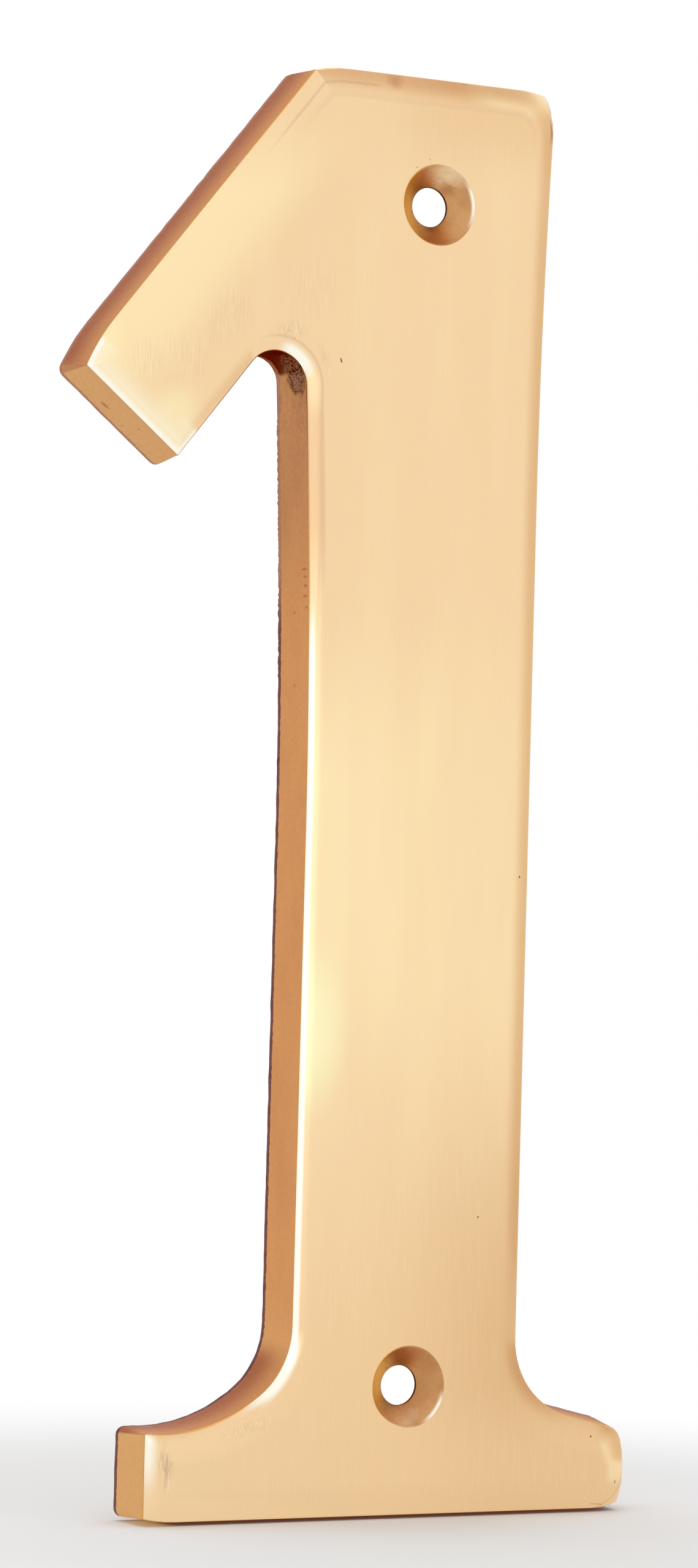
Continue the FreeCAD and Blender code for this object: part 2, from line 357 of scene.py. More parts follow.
def drawRing(name, depth, below=None, **levels):
    # draws one closed ring of edges with a single point as the pen
    base = casting["height"] / 2
    begin, path = outlineOf(**levels)
    piece = startPiece(name)
    bpy.ops.mesh.primitive_plane_add(size=1, location=(begin.x, -depth, begin.y - base))
    bpy.ops.mesh.merge(type='CENTER')
    pen = begin.copy()
    for centre, end, steps in path:
        if centre is None:
            step = end - pen
            bpy.ops.mesh.extrude_region_move(TRANSFORM_OT_translate={"value": (step.x, 0, step.y)})
            if steps > 1:
                tip = next(v for v in editedVerts(piece) if v.select)
                place = tip.co.copy()
                edge = tip.link_edges[0]
                edge.other_vert(tip).select = True
                edge.select = True
                bmesh.update_edit_mesh(piece.data)
                bpy.ops.mesh.subdivide(number_cuts=steps - 1)
                pickVert(piece, place)
        else:
            turn = (pen - centre).angle_signed(end - centre)   # clockwise is positive here
            bpy.ops.mesh.spin(steps=steps, angle=turn, center=(centre.x, -depth, centre.y - base),
                              axis=(0, -1, 0))
        tip = next(v for v in editedVerts(piece) if v.select)
        tip.co = (end.x, -depth, end.y - base)
        pen = end
    bpy.ops.mesh.select_all(action='SELECT')
    bpy.ops.mesh.remove_doubles(threshold=0.001)
    if below is not None:
        # at a dubbed corner the ring follows the lower edge of the roll
        for middle, first, radius, last in dubCentres():
            for v in editedVerts(piece):
                spoke = Vector((v.co.x, v.co.z + base)) - middle
                if spoke.length > 1 and first <= math.degrees(math.atan2(spoke.y, spoke.x)) <= last:
                    v.co.y = max(v.co.y, below - rollDepth(spoke.length - radius))
        bmesh.update_edit_mesh(piece.data)
    nameRing(piece, name)
    bpy.ops.object.mode_set(mode='OBJECT')
    if len(piece.data.vertices) != sum(steps for centre, end, steps in path):
        print("ring", name, "has", len(piece.data.vertices), "points")
    return piece


def bridgeRings(piece, first, second, finishIndex):
    pickRings(piece, first, second)
    bpy.ops.mesh.bridge_edge_loops()
    piece.active_material_index = finishIndex
    bpy.ops.object.material_slot_assign()


def sinkHole(pieceName, height, profile, name):
    # a screw hole turned from (radius, depth) pairs, mouth first
    radius, depth = profile[0]
    piece = startPiece(pieceName)
    bpy.ops.mesh.primitive_circle_add(vertices=120, radius=radius, location=(0, -depth, height),
                                      rotation=(math.pi / 2, 0, 0))
    nameRing(piece, name + "Mouth")
    for nextRadius, nextDepth in profile[1:]:
        bpy.ops.mesh.extrude_region_move(TRANSFORM_OT_translate={"value": (0, depth - nextDepth, 0)})
        bpy.ops.object.vertex_group_remove_from(use_all_groups=True)   # new points copy the old ones' group
        size = nextRadius / radius
        bpy.ops.transform.resize(value=(size, 1, size), center_override=(0, -nextDepth, height))
        radius, depth = nextRadius, nextDepth
    nameRing(piece, name + "Inner")
    bpy.ops.object.mode_set(mode='OBJECT')
    return piece


def wallLevels(depth, corner, ease=0.0):
    # the cast sides stand out more towards the wall
    c = casting
    share = 1 - depth / c["wallDepth"]
    under = share * c["underFlare"] - ease
    return {"grow": share * c["draft"] - ease, "under": under, "foot": share * c["rightFootFlare"] - ease,
            "notch": c["notchRadius"] - under, "corner": corner}


def sinkProfile():
    # mouth, rounded rim, cone, bore and the plate's back
    c = casting
    face, bend = c["faceDepth"], c["sinkRound"]
    rim = c["sinkRadius"] + bend * math.tan(math.radians(22.5))
    steps = [(rim + 0.5, face), (rim + 0.06, face)]
    for degrees in (0, 9, 18, 27, 36, 45):
        turn = math.radians(degrees)
        steps.append((rim - bend * math.sin(turn), face - bend * (1 - math.cos(turn))))
    coneEnd = face - c["sinkRadius"] + c["boreRadius"]
    steps.append((c["boreRadius"] + 1.92, coneEnd + 1.92))
    steps.append((c["boreRadius"] + 0.12, coneEnd + 0.12))
    steps.append((c["boreRadius"], coneEnd))
    steps.append((c["boreRadius"], c["pocketDepth"]))
    steps.append((c["boreRadius"] + 0.4, c["pocketDepth"]))
    return steps


def buildNumeral(finishes):
    c = casting
    satin, cast, turned, back, shadedArch = range(5)
    rings, strips = [], []          # strips hold each ring's name with the finish up to the next ring

    def ring(name, depth, finish, **levels):
        rings.append(drawRing(name, depth, **levels))
        strips.append((name, finish))

    # hollow back: floor, its fillet and the wall up to the rim
    for degrees in (0, 30, 60, 90):
        turn = math.radians(degrees)
        fillet = c["pocketFillet"]
        level = -c["rim"] - fillet * (1 - math.sin(turn))
        corner = c["pocketCorner"] + c["rim"] + level
        ring("pocket" + str(degrees), c["pocketDepth"] - fillet * (1 - math.cos(turn)), back,
             grow=level, corner=corner, dub=corner)
    for name, depth, out in (("pocketMouth", 0.15, 0), ("rimInner", 0.05, 0.15), ("rimMiddle", 0.02, 1.2)):
        ring(name, depth, back, grow=out - c["rim"], corner=c["pocketCorner"], dub=c["pocketCorner"])

    # cast sides, from the eased back edge to the arris
    ring("backEdge", 0, cast, **wallLevels(0, c["backCorner"], c["backEase"]))
    ring("sideBack", c["backEase"], cast, **wallLevels(c["backEase"], c["backCorner"]))
    for name, low in (("sideHold", 0.3), ("arrisLow", 0.12)):
        ring(name, c["wallDepth"] - low, cast, below=low, **wallLevels(c["wallDepth"] - low, 0.17))

    # the arris, then the rolled face up to the flat
    ring("arris", c["wallDepth"] - 0.016, satin, below=0.016, grow=-0.028, corner=c["faceCorner"])
    edge = math.sin(math.radians(c["rollSlope"]))
    full = c["dubbedCorner"]
    for degrees, dub in ((29, 0.6), (28, 1.5), (26.5, 2.5), (25, 3.7), (23, full), (20, full), (17, full), (14, full),
                         (11, full), (8, full), (5.5, full), (3.2, full), (1.6, full), (0.6, full)):
        level = c["rollRadius"] * (math.sin(math.radians(degrees)) - edge)
        ring("roll" + str(degrees), rollDepth(level), satin, below=0, grow=level, corner=c["faceCorner"],
             dub=min(dub, full + level))
    flat = -c["rollRadius"] * edge - 0.15
    rings.append(drawRing("flat", c["faceDepth"], grow=flat, corner=c["faceCorner"], dub=full + flat))
    names = [name for name, finish in strips] + ["flat"]
    print("rings drawn", len(rings))

    numeral = sinkHole("castNumeral", c["holeHeight"], sinkProfile(), "top")
    lowSink = sinkHole("lowSink", -c["holeHeight"], sinkProfile(), "low")
    for hole in (numeral, lowSink):
        for finish in finishes:
            hole.data.materials.append(finish)
        for face in hole.data.polygons:
            onFace = all(hole.data.vertices[i].co.y < 0.01 - c["faceDepth"] for i in face.vertices)
            face.material_index = satin if onFace else turned
    for other in rings + [lowSink]:
        other.select_set(True)
    numeral.select_set(True)
    bpy.context.view_layer.objects.active = numeral
    bpy.ops.object.join()
    bpy.ops.object.mode_set(mode='EDIT')

    # skin between the rings, then the flats with the holes left open
    for i, (name, index) in enumerate(strips):
        bridgeRings(numeral, name, names[i + 1], index)
    for ring, hole, index in (("flat", "Mouth", satin), ("pocket0", "Inner", back)):
        pickRings(numeral, ring, "top" + hole, "low" + hole)
        bpy.ops.mesh.fill(use_beauty=True)
        numeral.active_material_index = index
        bpy.ops.object.material_slot_assign()

    # cuts along the sides, for the cast skin
    pickRings(numeral, "sideBack", "sideHold")
    mesh = bmesh.from_edit_mesh(numeral.data)
    links = [e for e in mesh.edges if e.select and abs(e.verts[0].co.y - e.verts[1].co.y) > 3]
    bpy.ops.mesh.select_all(action='DESELECT')
    bpy.ops.mesh.select_mode(type='EDGE')
    for e in links:
        e.select = True
    bmesh.update_edit_mesh(numeral.data)
    bpy.ops.mesh.subdivide(number_cuts=12)
    bpy.ops.mesh.select_mode(type='VERT')
    bpy.ops.mesh.select_all(action='SELECT')
    bpy.ops.mesh.normals_make_consistent(inside=False)
    bpy.ops.object.mode_set(mode='OBJECT')
    # down-facing faces in the notch get the shaded copy of the skin, painted shade
    for face in numeral.data.polygons:
        if face.material_index == cast and face.normal.z < -0.35 and face.center.z > 38 and face.center.x > -27:
            face.material_index = shadedArch
    return numeral


# Finishes. Patterns are laid out in millimetres on object coordinates.
satin = {
    "gold": (0.92, 0.66, 0.38),
    # painted sheen and highlights
    "paleSheen": (1.0, 0.79, 0.46),
    # painted shade, low on the stem and at the top right
    "low": (0.88, 0.60, 0.325),
    "deep": (0.75, 0.475, 0.235),       # painted shade, low on the right
    # painted highlight
    "glow": (1.0, 0.93, 0.55),
    "brownShade": (0.79, 0.53, 0.30),      # painted shade on the left roll, below the notch
    "edge": (0.80, 0.44, 0.13),         # painted reflection: thin line along the arris
    "line": (0.72, 0.50, 0.31),         # painted shade: soft line where the roll begins
    # painted highlights on the rolled edges
    "white": (1.0, 0.97, 0.84),
    "wisp": (0.62, 0.43, 0.26),
    # painted highlights, and the lighter streaks of the brushing
    "shine": (1.0, 0.88, 0.62),
    "red": (0.60, 0.30, 0.17),
    "speck": (0.16, 0.08, 0.05),
    "sheenBand": (-45, -15, 0, 25),      # painted sheen: heights in millimetres over which the stem turns pale and back
    # heights over which the stem darkens, painted shade
    "shadeBand": (-34, -62),
    "roughness": (0.13, 0.22),
    "streakWidth": 7.0,                 # streaks to the millimetre
    "streakStretch": 0.03,              # how much longer than wide, as a share
    "streakDepth": 0.0025,
    "wavesDepth": 0.25,
}
# patches on the face: x, z, half width, half height, turn, strength
# painted highlights on the foot's sweep and round the notch
shines = [
    (-15.5, -60.5, 9, 5, 30, 1),
    (-15.8, 45.4, 2.9, 3.0, 0, 1),
]
# painted highlights at the top right corner and at the toe
cornerSheens = [
    (9.0, 76.0, 7.5, 4.0, 0, 0.9),
    (26.0, -70.5, 3.0, 3.5, 0, 0.6),
]
# painted highlights: broad soft glow on the face
glows = [
    (-12.9, -25.0, 5.5, 11.0, 0, 0.9),
    (-30.5, 38.0, 4.0, 4.0, 0, 0.4),
    (-38.5, 46.0, 2.5, 4.0, 0, 0.3),
]
# smudges and streaks on the face; the thin arc beside the notch is painted shade
wisps = [
    (-17.3, 47.7, 2.4, 1.3, 0, 0.6),
    (-13.2, 45.2, 0.7, 2.8, -15, 0.4),
    (-24.5, 48.5, 3.0, 4.6, 35, 0.3),
    (-29.5, 44.0, 4.0, 4.6, 35, 0.2),
    (-34.0, 43.0, 3.4, 4.0, 30, 0.25),
    (-15.0, 52.0, 5.0, 5.0, 0, 0.12),
    (-18.5, -66.4, 4.6, 1.0, -14, 0.45),
    (-28.2, -70.2, 0.9, 3.4, 0, 0.9),
]
reds = [
    (-5.4, 75.2, 1.5, 1.1, 0, 0.5),
    (3.2, 75.9, 0.9, 0.4, 0, 0.45),
    (6.0, 75.9, 11.0, 2.4, 0, 0.25),
]
specks = [
    (-11.3, 45.06, 0.11, 0.35, -20, 0.9),
    (12.2, -8.45, 0.16, 0.16, 0, 0.9),
    (7.95, -44.67, 0.12, 0.12, 0, 0.9),
    (22.78, -68.22, 0.14, 0.14, 0, 0.9),
    (26.1, -73.2, 0.16, 0.22, 0, 0.6),
    (-1.26, 67.25, 0.2, 0.1, 30, 0.3),
    (-2.8, 66.25, 0.25, 0.1, 0, 0.3),
]
skin = {
    "copper": (0.70, 0.33, 0.12),
    "dull": (0.50, 0.23, 0.095),
    # painted reflection, lighter, low on the foot and where the far left faces down
    "sideSheen": (0.73, 0.41, 0.16),
    "upBack": (0.38, 0.125, 0.055),     # what faces upwards, at the wall, as painted shade; also the colour of the nicks
    "upFront": (0.60, 0.28, 0.10),      # and near the face, painted shade as well
    # painted shade where the sides face down
    "under": (0.13, 0.025, 0.01),
    # painted reflection: warmer line along the arris
    "arris": (0.66, 0.33, 0.08),
    "mauve": (0.42, 0.20, 0.12),        # strip along the wall, high on the stem
    "plum": (0.11, 0.03, 0.05),         # and lower down
    "strip": 0.95,                      # its width
    "pit": (0.07, 0.015, 0.008),
    "rust": (0.30, 0.10, 0.05),
    "ridge": (0.72, 0.40, 0.22),
    "tint": (0.94, 0.78, 0.74),         # what it mirrors at a slant
    # painted shade: darker mirroring for the down-facing faces in the notch
    "archShadeTint": (0.42, 0.16, 0.09),
    "roughness": (0.36, 0.52),
    "grainDepth": 0.03,
}
# marks on the sides: x, depth from the wall, z, half sizes along each, strength
nicks = [
    (-36.2, 2.7, 38.8, 1.0, 0.35, 0.5, 0.7),
    (-33.9, 2.2, 36.9, 0.3, 0.12, 0.12, 0.6),
    (-33.0, 4.4, 36.4, 0.3, 0.15, 0.15, 0.6),
    (-14.0, 3.7, 18.6, 1.0, 0.15, 0.2, 0.6),
    (-13.8, 3.8, 10.8, 1.0, 0.12, 0.3, 0.6),
    (-14.2, 5.7, 23.0, 1.0, 0.7, 0.14, 0.75),
    (-14.2, 5.9, 22.2, 1.0, 0.5, 0.1, 0.6),
    (-14.2, 6.0, 21.3, 1.0, 0.5, 0.15, 0.75),
    (-14.2, 5.9, 20.2, 1.0, 0.6, 0.13, 0.7),
    (-14.2, 6.2, 19.0, 1.0, 0.35, 0.14, 0.65),
]
sink = {
    "copper": (0.66, 0.35, 0.15),
    "darkCopper": (0.50, 0.23, 0.09),
    # painted reflection on the left of each hole
    "orangeSheen": (0.85, 0.50, 0.14),
    # painted reflection low in the holes
    "paleSheen": (1.0, 0.82, 0.52),
    # painted highlight on the rim
    "bright": (1.0, 0.93, 0.78),
    # painted shade in the bore
    "bore": (0.06, 0.02, 0.015),
    "tint": (0.9, 0.62, 0.4),
    "roughness": (0.24, 0.36),
    "markPitch": 0.17,
    "markDepth": 0.0012,
}
# darker patches in the countersinks: x, z, half width, half height, turn, strength
darkPatches = [
    (1.9, 64.4, 1.3, 0.8, 35, 0.9),
    (-0.4, 65.7, 2.2, 1.1, 0, 0.12),
    (2.6, -63.2, 1.3, 1.0, 0, 0.5),
    (0.2, -59.7, 2.6, 0.8, 0, 0.4),
]
hollow = {
    "brass": (0.62, 0.41, 0.19),
    "dark": (0.38, 0.23, 0.10),
    "roughness": (0.42, 0.6),
    "grainDepth": 0.08,
}


def putNode(finish, kind, inputs, **settings):
    # adds a node, sets its choices and either links or fills in each input
    made = finish.node_tree.nodes.new(kind)
    for key, value in settings.items():
        setattr(made, key, value)
    for key, value in inputs.items():
        if isinstance(value, bpy.types.NodeSocket):
            finish.node_tree.links.new(value, made.inputs[key])
        else:
            made.inputs[key].default_value = value
    return made


def newFinish(name, metal=1.0):
    finish = bpy.data.materials.new(name)
    finish.use_nodes = True
    finish.node_tree.nodes["Principled BSDF"].inputs["Metallic"].default_value = metal
    return finish


def millimetres(finish, stretch=(1, 1, 1), shift=(0, 0, 0)):
    spot = putNode(finish, "ShaderNodeTexCoord", {}).outputs["Object"]
    scale = [s / millimetre for s in stretch]
    return putNode(finish, "ShaderNodeMapping", {"Vector": spot, "Scale": scale, "Location": shift}).outputs[0]


def noise(finish, spot, scale, detail=3.0, roughness=0.5, distortion=0.0):
    return putNode(finish, "ShaderNodeTexNoise", {"Vector": spot, "Scale": scale, "Detail": detail,
                                                  "Roughness": roughness, "Distortion": distortion}).outputs["Fac"]


def spread(finish, value, low, high, toLow=0.0, toHigh=1.0, smooth=False):
    # stretches the part of a value between low and high
    kind = 'SMOOTHSTEP' if smooth else 'LINEAR'
    return putNode(finish, "ShaderNodeMapRange", {"Value": value, "From Min": low, "From Max": high, "To Min": toLow,
                                                  "To Max": toHigh}, interpolation_type=kind).outputs["Result"]


def sums(finish, operation, first, second=0.0):
    return putNode(finish, "ShaderNodeMath", {0: first, 1: second}, operation=operation).outputs[0]


def blend(finish, share, first, second, mode='MIX'):
    inputs = {"Factor": share, 6: first, 7: second}
    for key in (6, 7):
        if not isinstance(inputs[key], bpy.types.NodeSocket) and len(inputs[key]) == 3:
            inputs[key] = (*inputs[key], 1)
    return putNode(finish, "ShaderNodeMix", inputs, data_type='RGBA', blend_type=mode).outputs[2]


def bump(finish, height, depth, under=None):
    # depth is the height of the pattern in millimetres
    inputs = {"Height": height, "Distance": depth * millimetre, "Strength": 1.0}
    if under is not None:
        inputs["Normal"] = under
    return putNode(finish, "ShaderNodeBump", inputs).outputs[0]


def patch(finish, spot, place, sizes, turn=0.0, core=0.2):
    # 1 within a soft oval, 0 outside it
    inputs = {"Vector": spot, "Location": place, "Rotation": (0, math.radians(turn), 0), "Scale": sizes}
    near = putNode(finish, "ShaderNodeMapping", inputs, vector_type='TEXTURE').outputs[0]
    away = putNode(finish, "ShaderNodeVectorMath", {0: near}, operation='LENGTH').outputs["Value"]
    return spread(finish, away, core, 1, 1, 0, True)


def patches(finish, spot, marks, core=0.2):
    # the strongest of several ovals that run through the whole depth
    share = 0.0
    for x, z, halfWidth, halfHeight, turn, strength in marks:
        oval = patch(finish, spot, (x, 0, z), (halfWidth, 1000, halfHeight), turn, core)
        share = sums(finish, 'MAXIMUM', sums(finish, 'MULTIPLY', oval, strength), share)
    return share


def stirred(finish, spot, scale, reach):
    # the same place, pushed about a little so that edges come out uneven
    cloud = putNode(finish, "ShaderNodeTexNoise", {"Vector": spot, "Scale": scale, "Detail": 3.0}).outputs["Color"]
    middle = putNode(finish, "ShaderNodeVectorMath", {0: cloud, 1: (0.5, 0.5, 0.5)}, operation='SUBTRACT').outputs[0]
    push = putNode(finish, "ShaderNodeVectorMath", {0: middle, "Scale": reach}, operation='SCALE').outputs[0]
    return putNode(finish, "ShaderNodeVectorMath", {0: spot, 1: push}, operation='ADD').outputs[0]


def finishOff(finish, colour, roughness, normal):
    shader = finish.node_tree.nodes["Principled BSDF"]
    for key, value in (("Base Color", colour), ("Roughness", roughness), ("Normal", normal)):
        finish.node_tree.links.new(value, shader.inputs[key])
    return finish


def satinFinish():
    # the buffed face: pale, with fine upright streaks, soft waves, wisps and a few marks, and with painted sheen,
    # highlights, reflections and shade
    s = satin
    finish = newFinish("satinFace")
    spot = millimetres(finish)
    x, y, z = putNode(finish, "ShaderNodeSeparateXYZ", {0: spot}).outputs
    streaks = noise(finish, millimetres(finish, (1, 1, s["streakStretch"])), s["streakWidth"], 5, 0.6)
    broad = noise(finish, millimetres(finish, (1, 1, 0.15)), 0.22, 2)
    clouds = noise(finish, spot, 0.05, 2)
    # painted sheen: the stem lighter over a band of heights, more so to the left, with a random broad shift in tone
    rise, full, fall, gone = s["sheenBand"]
    stemSheen = sums(finish, 'MULTIPLY', spread(finish, z, rise, full, smooth=True),
                spread(finish, z, gone, fall, smooth=True))
    stemSheen = sums(finish, 'MULTIPLY', stemSheen, spread(finish, x, 14, -10, 0.3, 0.9))
    shift = spread(finish, broad, 0.3, 0.7, -0.12, 0.16)
    colour = blend(finish, sums(finish, 'ADD', stemSheen, shift), s["gold"], s["paleSheen"])
    # painted shade: darker low on the stem, at the top right and low on the right
    lowerShade = sums(finish, 'MULTIPLY', spread(finish, z, *s["shadeBand"], 0, 0.9, True), spread(finish, x, -26, -8, 0.35, 1))
    colour = blend(finish, lowerShade, colour, s["low"])
    topRight = sums(finish, 'MULTIPLY', spread(finish, z, 64, 73, 0, 1, True), spread(finish, x, -11, 2, 0.1, 1, True))
    colour = blend(finish, topRight, colour, s["low"])
    lowRightShade = sums(finish, 'MULTIPLY', spread(finish, x, -8, 15, smooth=True), spread(finish, z, -20, -60, smooth=True))
    lowRightShade = sums(finish, 'MULTIPLY', lowRightShade, spread(finish, z, -70, -62, 0.45, 0.95, True))
    colour = blend(finish, lowRightShade, colour, s["deep"])
    colour = blend(finish, spread(finish, streaks, 0.45, 0.8, 0, 0.12), colour, s["shine"])

    # painted shade where the roll begins, along the top and round the notch, and a painted reflection line at the arris
    drop = sums(finish, 'ADD', y, casting["faceDepth"])
    start = sums(finish, 'MULTIPLY', spread(finish, drop, 0.0, 0.012, smooth=True), spread(finish, drop, 0.1, 0.02, smooth=True))
    upper = sums(finish, 'MULTIPLY', spread(finish, z, 68, 73, 0, 0.25, True), start)
    leftRoll = sums(finish, 'MULTIPLY', spread(finish, x, -7, -8), spread(finish, x, -21, -18))
    rollShadeLine = sums(finish, 'ABSOLUTE', sums(finish, 'SUBTRACT', drop, spread(finish, z, 18, 42, 0.52, 0.27)))
    rollShadeLine = sums(finish, 'MULTIPLY', spread(finish, rollShadeLine, 0.06, 0.02, 0, 0.55, True), leftRoll)
    upper = sums(finish, 'MAXIMUM', upper, sums(finish, 'MULTIPLY', rollShadeLine, spread(finish, z, 15, 22)))
    colour = blend(finish, upper, colour, s["line"])
    arris = sums(finish, 'MULTIPLY', spread(finish, drop, 0.86, 0.89), spread(finish, drop, 0.96, 0.92))
    colour = blend(finish, arris, colour, s["edge"])

    # painted highlights on the upper edge of the flag and the right-hand corner, painted shade below the notch, a
    # painted highlight line down the left roll, and painted highlights on the flag's end and the foot
    alongFlag = sums(finish, 'ADD', sums(finish, 'MULTIPLY', x, -0.781), sums(finish, 'MULTIPLY', z, 0.6246))
    flagEdgeSheen = sums(finish, 'MULTIPLY', spread(finish, alongFlag, 49, 55.5, 0, 0.9, True), spread(finish, z, 70, 62))
    corner = sums(finish, 'MULTIPLY', patches(finish, spot, cornerSheens, 0.5), spread(finish, drop, 0.02, 0.15))
    colour = blend(finish, flagEdgeSheen, colour, s["paleSheen"])
    colour = blend(finish, corner, colour, s["paleSheen"])
    leftRollShade = sums(finish, 'MULTIPLY', spread(finish, z, 19, 29, smooth=True), spread(finish, z, 42, 38, smooth=True))
    leftRollShade = sums(finish, 'MULTIPLY', sums(finish, 'MULTIPLY', leftRollShade, leftRoll), spread(finish, drop, 0.2, 0.3, 0, 0.95))
    colour = blend(finish, leftRollShade, colour, s["brownShade"])
    colour = blend(finish, patches(finish, spot, glows, 0.2), colour, s["glow"])
    # painted highlight on the flag's end roll
    downFlag = sums(finish, 'ADD', sums(finish, 'MULTIPLY', x, -0.6246), sums(finish, 'MULTIPLY', z, -0.781))
    endRollHighlight = sums(finish, 'MULTIPLY', spread(finish, downFlag, -11.5, -10.8), spread(finish, alongFlag, 42.5, 44))
    colour = blend(finish, sums(finish, 'MULTIPLY', endRollHighlight, spread(finish, drop, 0.02, 0.4, 0.1, 0.8)), colour, s["shine"])
    colour = blend(finish, sums(finish, 'MULTIPLY', endRollHighlight, spread(finish, drop, 0.58, 0.75)), colour, s["white"])
    # painted highlight line down the left roll
    line = sums(finish, 'MULTIPLY', spread(finish, z, 21, 13, smooth=True), spread(finish, z, -66, -62, smooth=True))
    line = sums(finish, 'MULTIPLY', sums(finish, 'MULTIPLY', line, leftRoll), spread(finish, drop, 0.56, 0.66, 0, 0.95))
    colour = blend(finish, line, colour, s["white"])
    # painted highlights on the foot's sweep and the foot's left end
    lit = sums(finish, 'MULTIPLY', patches(finish, spot, shines, 0.4), spread(finish, drop, 0.32, 0.6, smooth=True))
    endBandHighlight = sums(finish, 'MULTIPLY', spread(finish, x, -28.8, -29.8, 0, 0.9), spread(finish, z, -74.5, -68.5, 0, 1, True))
    endBandHighlight = sums(finish, 'MULTIPLY', endBandHighlight, spread(finish, z, -60, -62))
    colour = blend(finish, sums(finish, 'MAXIMUM', lit, endBandHighlight), colour, s["white"])
    soft = stirred(finish, spot, 0.6, 1.6)
    strands = noise(finish, millimetres(finish, (1, 1, 0.05)), 9.0, 4, 0.65)
    wisped = patches(finish, soft, wisps, 0.1)
    colour = blend(finish, sums(finish, 'MULTIPLY', wisped, spread(finish, strands, 0.46, 0.62)), colour, s["wisp"])
    colour = blend(finish, sums(finish, 'MULTIPLY', wisped, spread(finish, strands, 0.46, 0.34)), colour, s["shine"])
    colour = blend(finish, patches(finish, soft, reds, 0.1), colour, s["red"])
    fine = stirred(finish, spot, 5.0, 0.15)
    holes = patches(finish, fine, specks, 0.5)
    colour = blend(finish, holes, colour, s["speck"])
    low, high = s["roughness"]
    roughness = spread(finish, sums(finish, 'ADD', streaks, clouds), 0.7, 1.3, low, high)
    normal = bump(finish, streaks, s["streakDepth"], bump(finish, clouds, s["wavesDepth"]))
    normal = bump(finish, holes, -0.05, normal)
    return finishOff(finish, colour, roughness, normal)


def skinFinish(name, tint):
    # the cast sides: coppery and matt, pitted in the notch, dark at the wall, with painted shade that makes them redder
    # where they face up and dark where they face down, and a painted reflection that lightens them low down
    s = skin
    finish = newFinish(name)
    spot = millimetres(finish)
    x, y, z = putNode(finish, "ShaderNodeSeparateXYZ", {0: spot}).outputs
    facing = putNode(finish, "ShaderNodeAttribute", {}, attribute_name="facing").outputs["Vector"]
    across, front, upward = putNode(finish, "ShaderNodeSeparateXYZ", {0: facing}).outputs
    grain = noise(finish, spot, 2.2, 6, 0.62)
    broad = noise(finish, millimetres(finish, (1, 1, 0.4)), 0.22, 4, 0.6)
    dull = sums(finish, 'ADD', spread(finish, broad, 0.4, 0.75, 0, 0.35), spread(finish, z, 16, 32, 0, 0.6, True))
    colour = blend(finish, dull, s["copper"], s["dull"])
    # painted reflection: lighter low on the foot and where the far left faces down
    sideSheen = sums(finish, 'MULTIPLY', spread(finish, upward, -0.5, -0.7), spread(finish, x, -27, -29))
    sideSheen = sums(finish, 'MAXIMUM', spread(finish, z, -52, -66), sideSheen)
    colour = blend(finish, sideSheen, colour, s["sideSheen"])
    # painted shade: up-facing sides redder, darker towards the wall
    upper = blend(finish, spread(finish, y, -6.6, -1.4, smooth=True), s["upFront"], s["upBack"])
    colour = blend(finish, spread(finish, upward, 0.15, 0.5, 0, 1, True), colour, upper)
    # painted shade: down-facing sides dark
    below = sums(finish, 'MULTIPLY', spread(finish, upward, -0.25, -0.6, 0, 0.95, True), spread(finish, x, -28, -26))
    colour = blend(finish, below, colour, s["under"])

    # a strip along the wall, uneven at its edge, and a warmer painted reflection line at the arris
    ragged = sums(finish, 'ADD', y, spread(finish, grain, 0.3, 0.7, -0.1, 0.1))
    strip = spread(finish, ragged, -s["strip"] - 0.05, -s["strip"] + 0.05, 0, 0.9)
    colour = blend(finish, strip, colour, blend(finish, spread(finish, z, 24, 16, smooth=True), s["mauve"], s["plum"]))
    colour = blend(finish, spread(finish, y, -6.45, -6.6, 0, 0.8), colour, s["arris"])

    # the rough patch in the notch
    rough = stirred(finish, spot, 1.2, 1.4)
    notch = patch(finish, rough, (-15.4, -4.8, 43.7), (2.4, 2.7, 2.5), 0, 0.6)
    lumps = noise(finish, stirred(finish, spot, 2.5, 0.4), 3.2, 4, 0.6)
    colour = blend(finish, sums(finish, 'MULTIPLY', notch, 0.75), colour, s["rust"])
    ridges = spread(finish, sums(finish, 'ABSOLUTE', sums(finish, 'SUBTRACT', lumps, 0.47)), 0.05, 0.01, 0, 0.9)
    colour = blend(finish, sums(finish, 'MULTIPLY', notch, ridges), colour, s["ridge"])
    holes = sums(finish, 'MULTIPLY', notch, spread(finish, lumps, 0.53, 0.6, 0, 0.9))
    colour = blend(finish, holes, colour, s["pit"])
    fine = stirred(finish, spot, 4.0, 0.5)
    share = 0.0
    for place in nicks:
        oval = patch(finish, fine, (place[0], -place[1], place[2]), place[3:6], 0, 0.5)
        share = sums(finish, 'MAXIMUM', sums(finish, 'MULTIPLY', oval, place[6]), share)
    colour = blend(finish, share, colour, s["upBack"])
    low, high = s["roughness"]
    roughness = spread(finish, grain, 0.3, 0.7, low, high)
    deep = bump(finish, sums(finish, 'MULTIPLY', lumps, notch), -0.6, bump(finish, grain, s["grainDepth"]))
    normal = bump(finish, share, -0.1, deep)
    finish.node_tree.nodes["Principled BSDF"].inputs["Specular Tint"].default_value = (*tint, 1)
    return finishOff(finish, colour, roughness, normal)


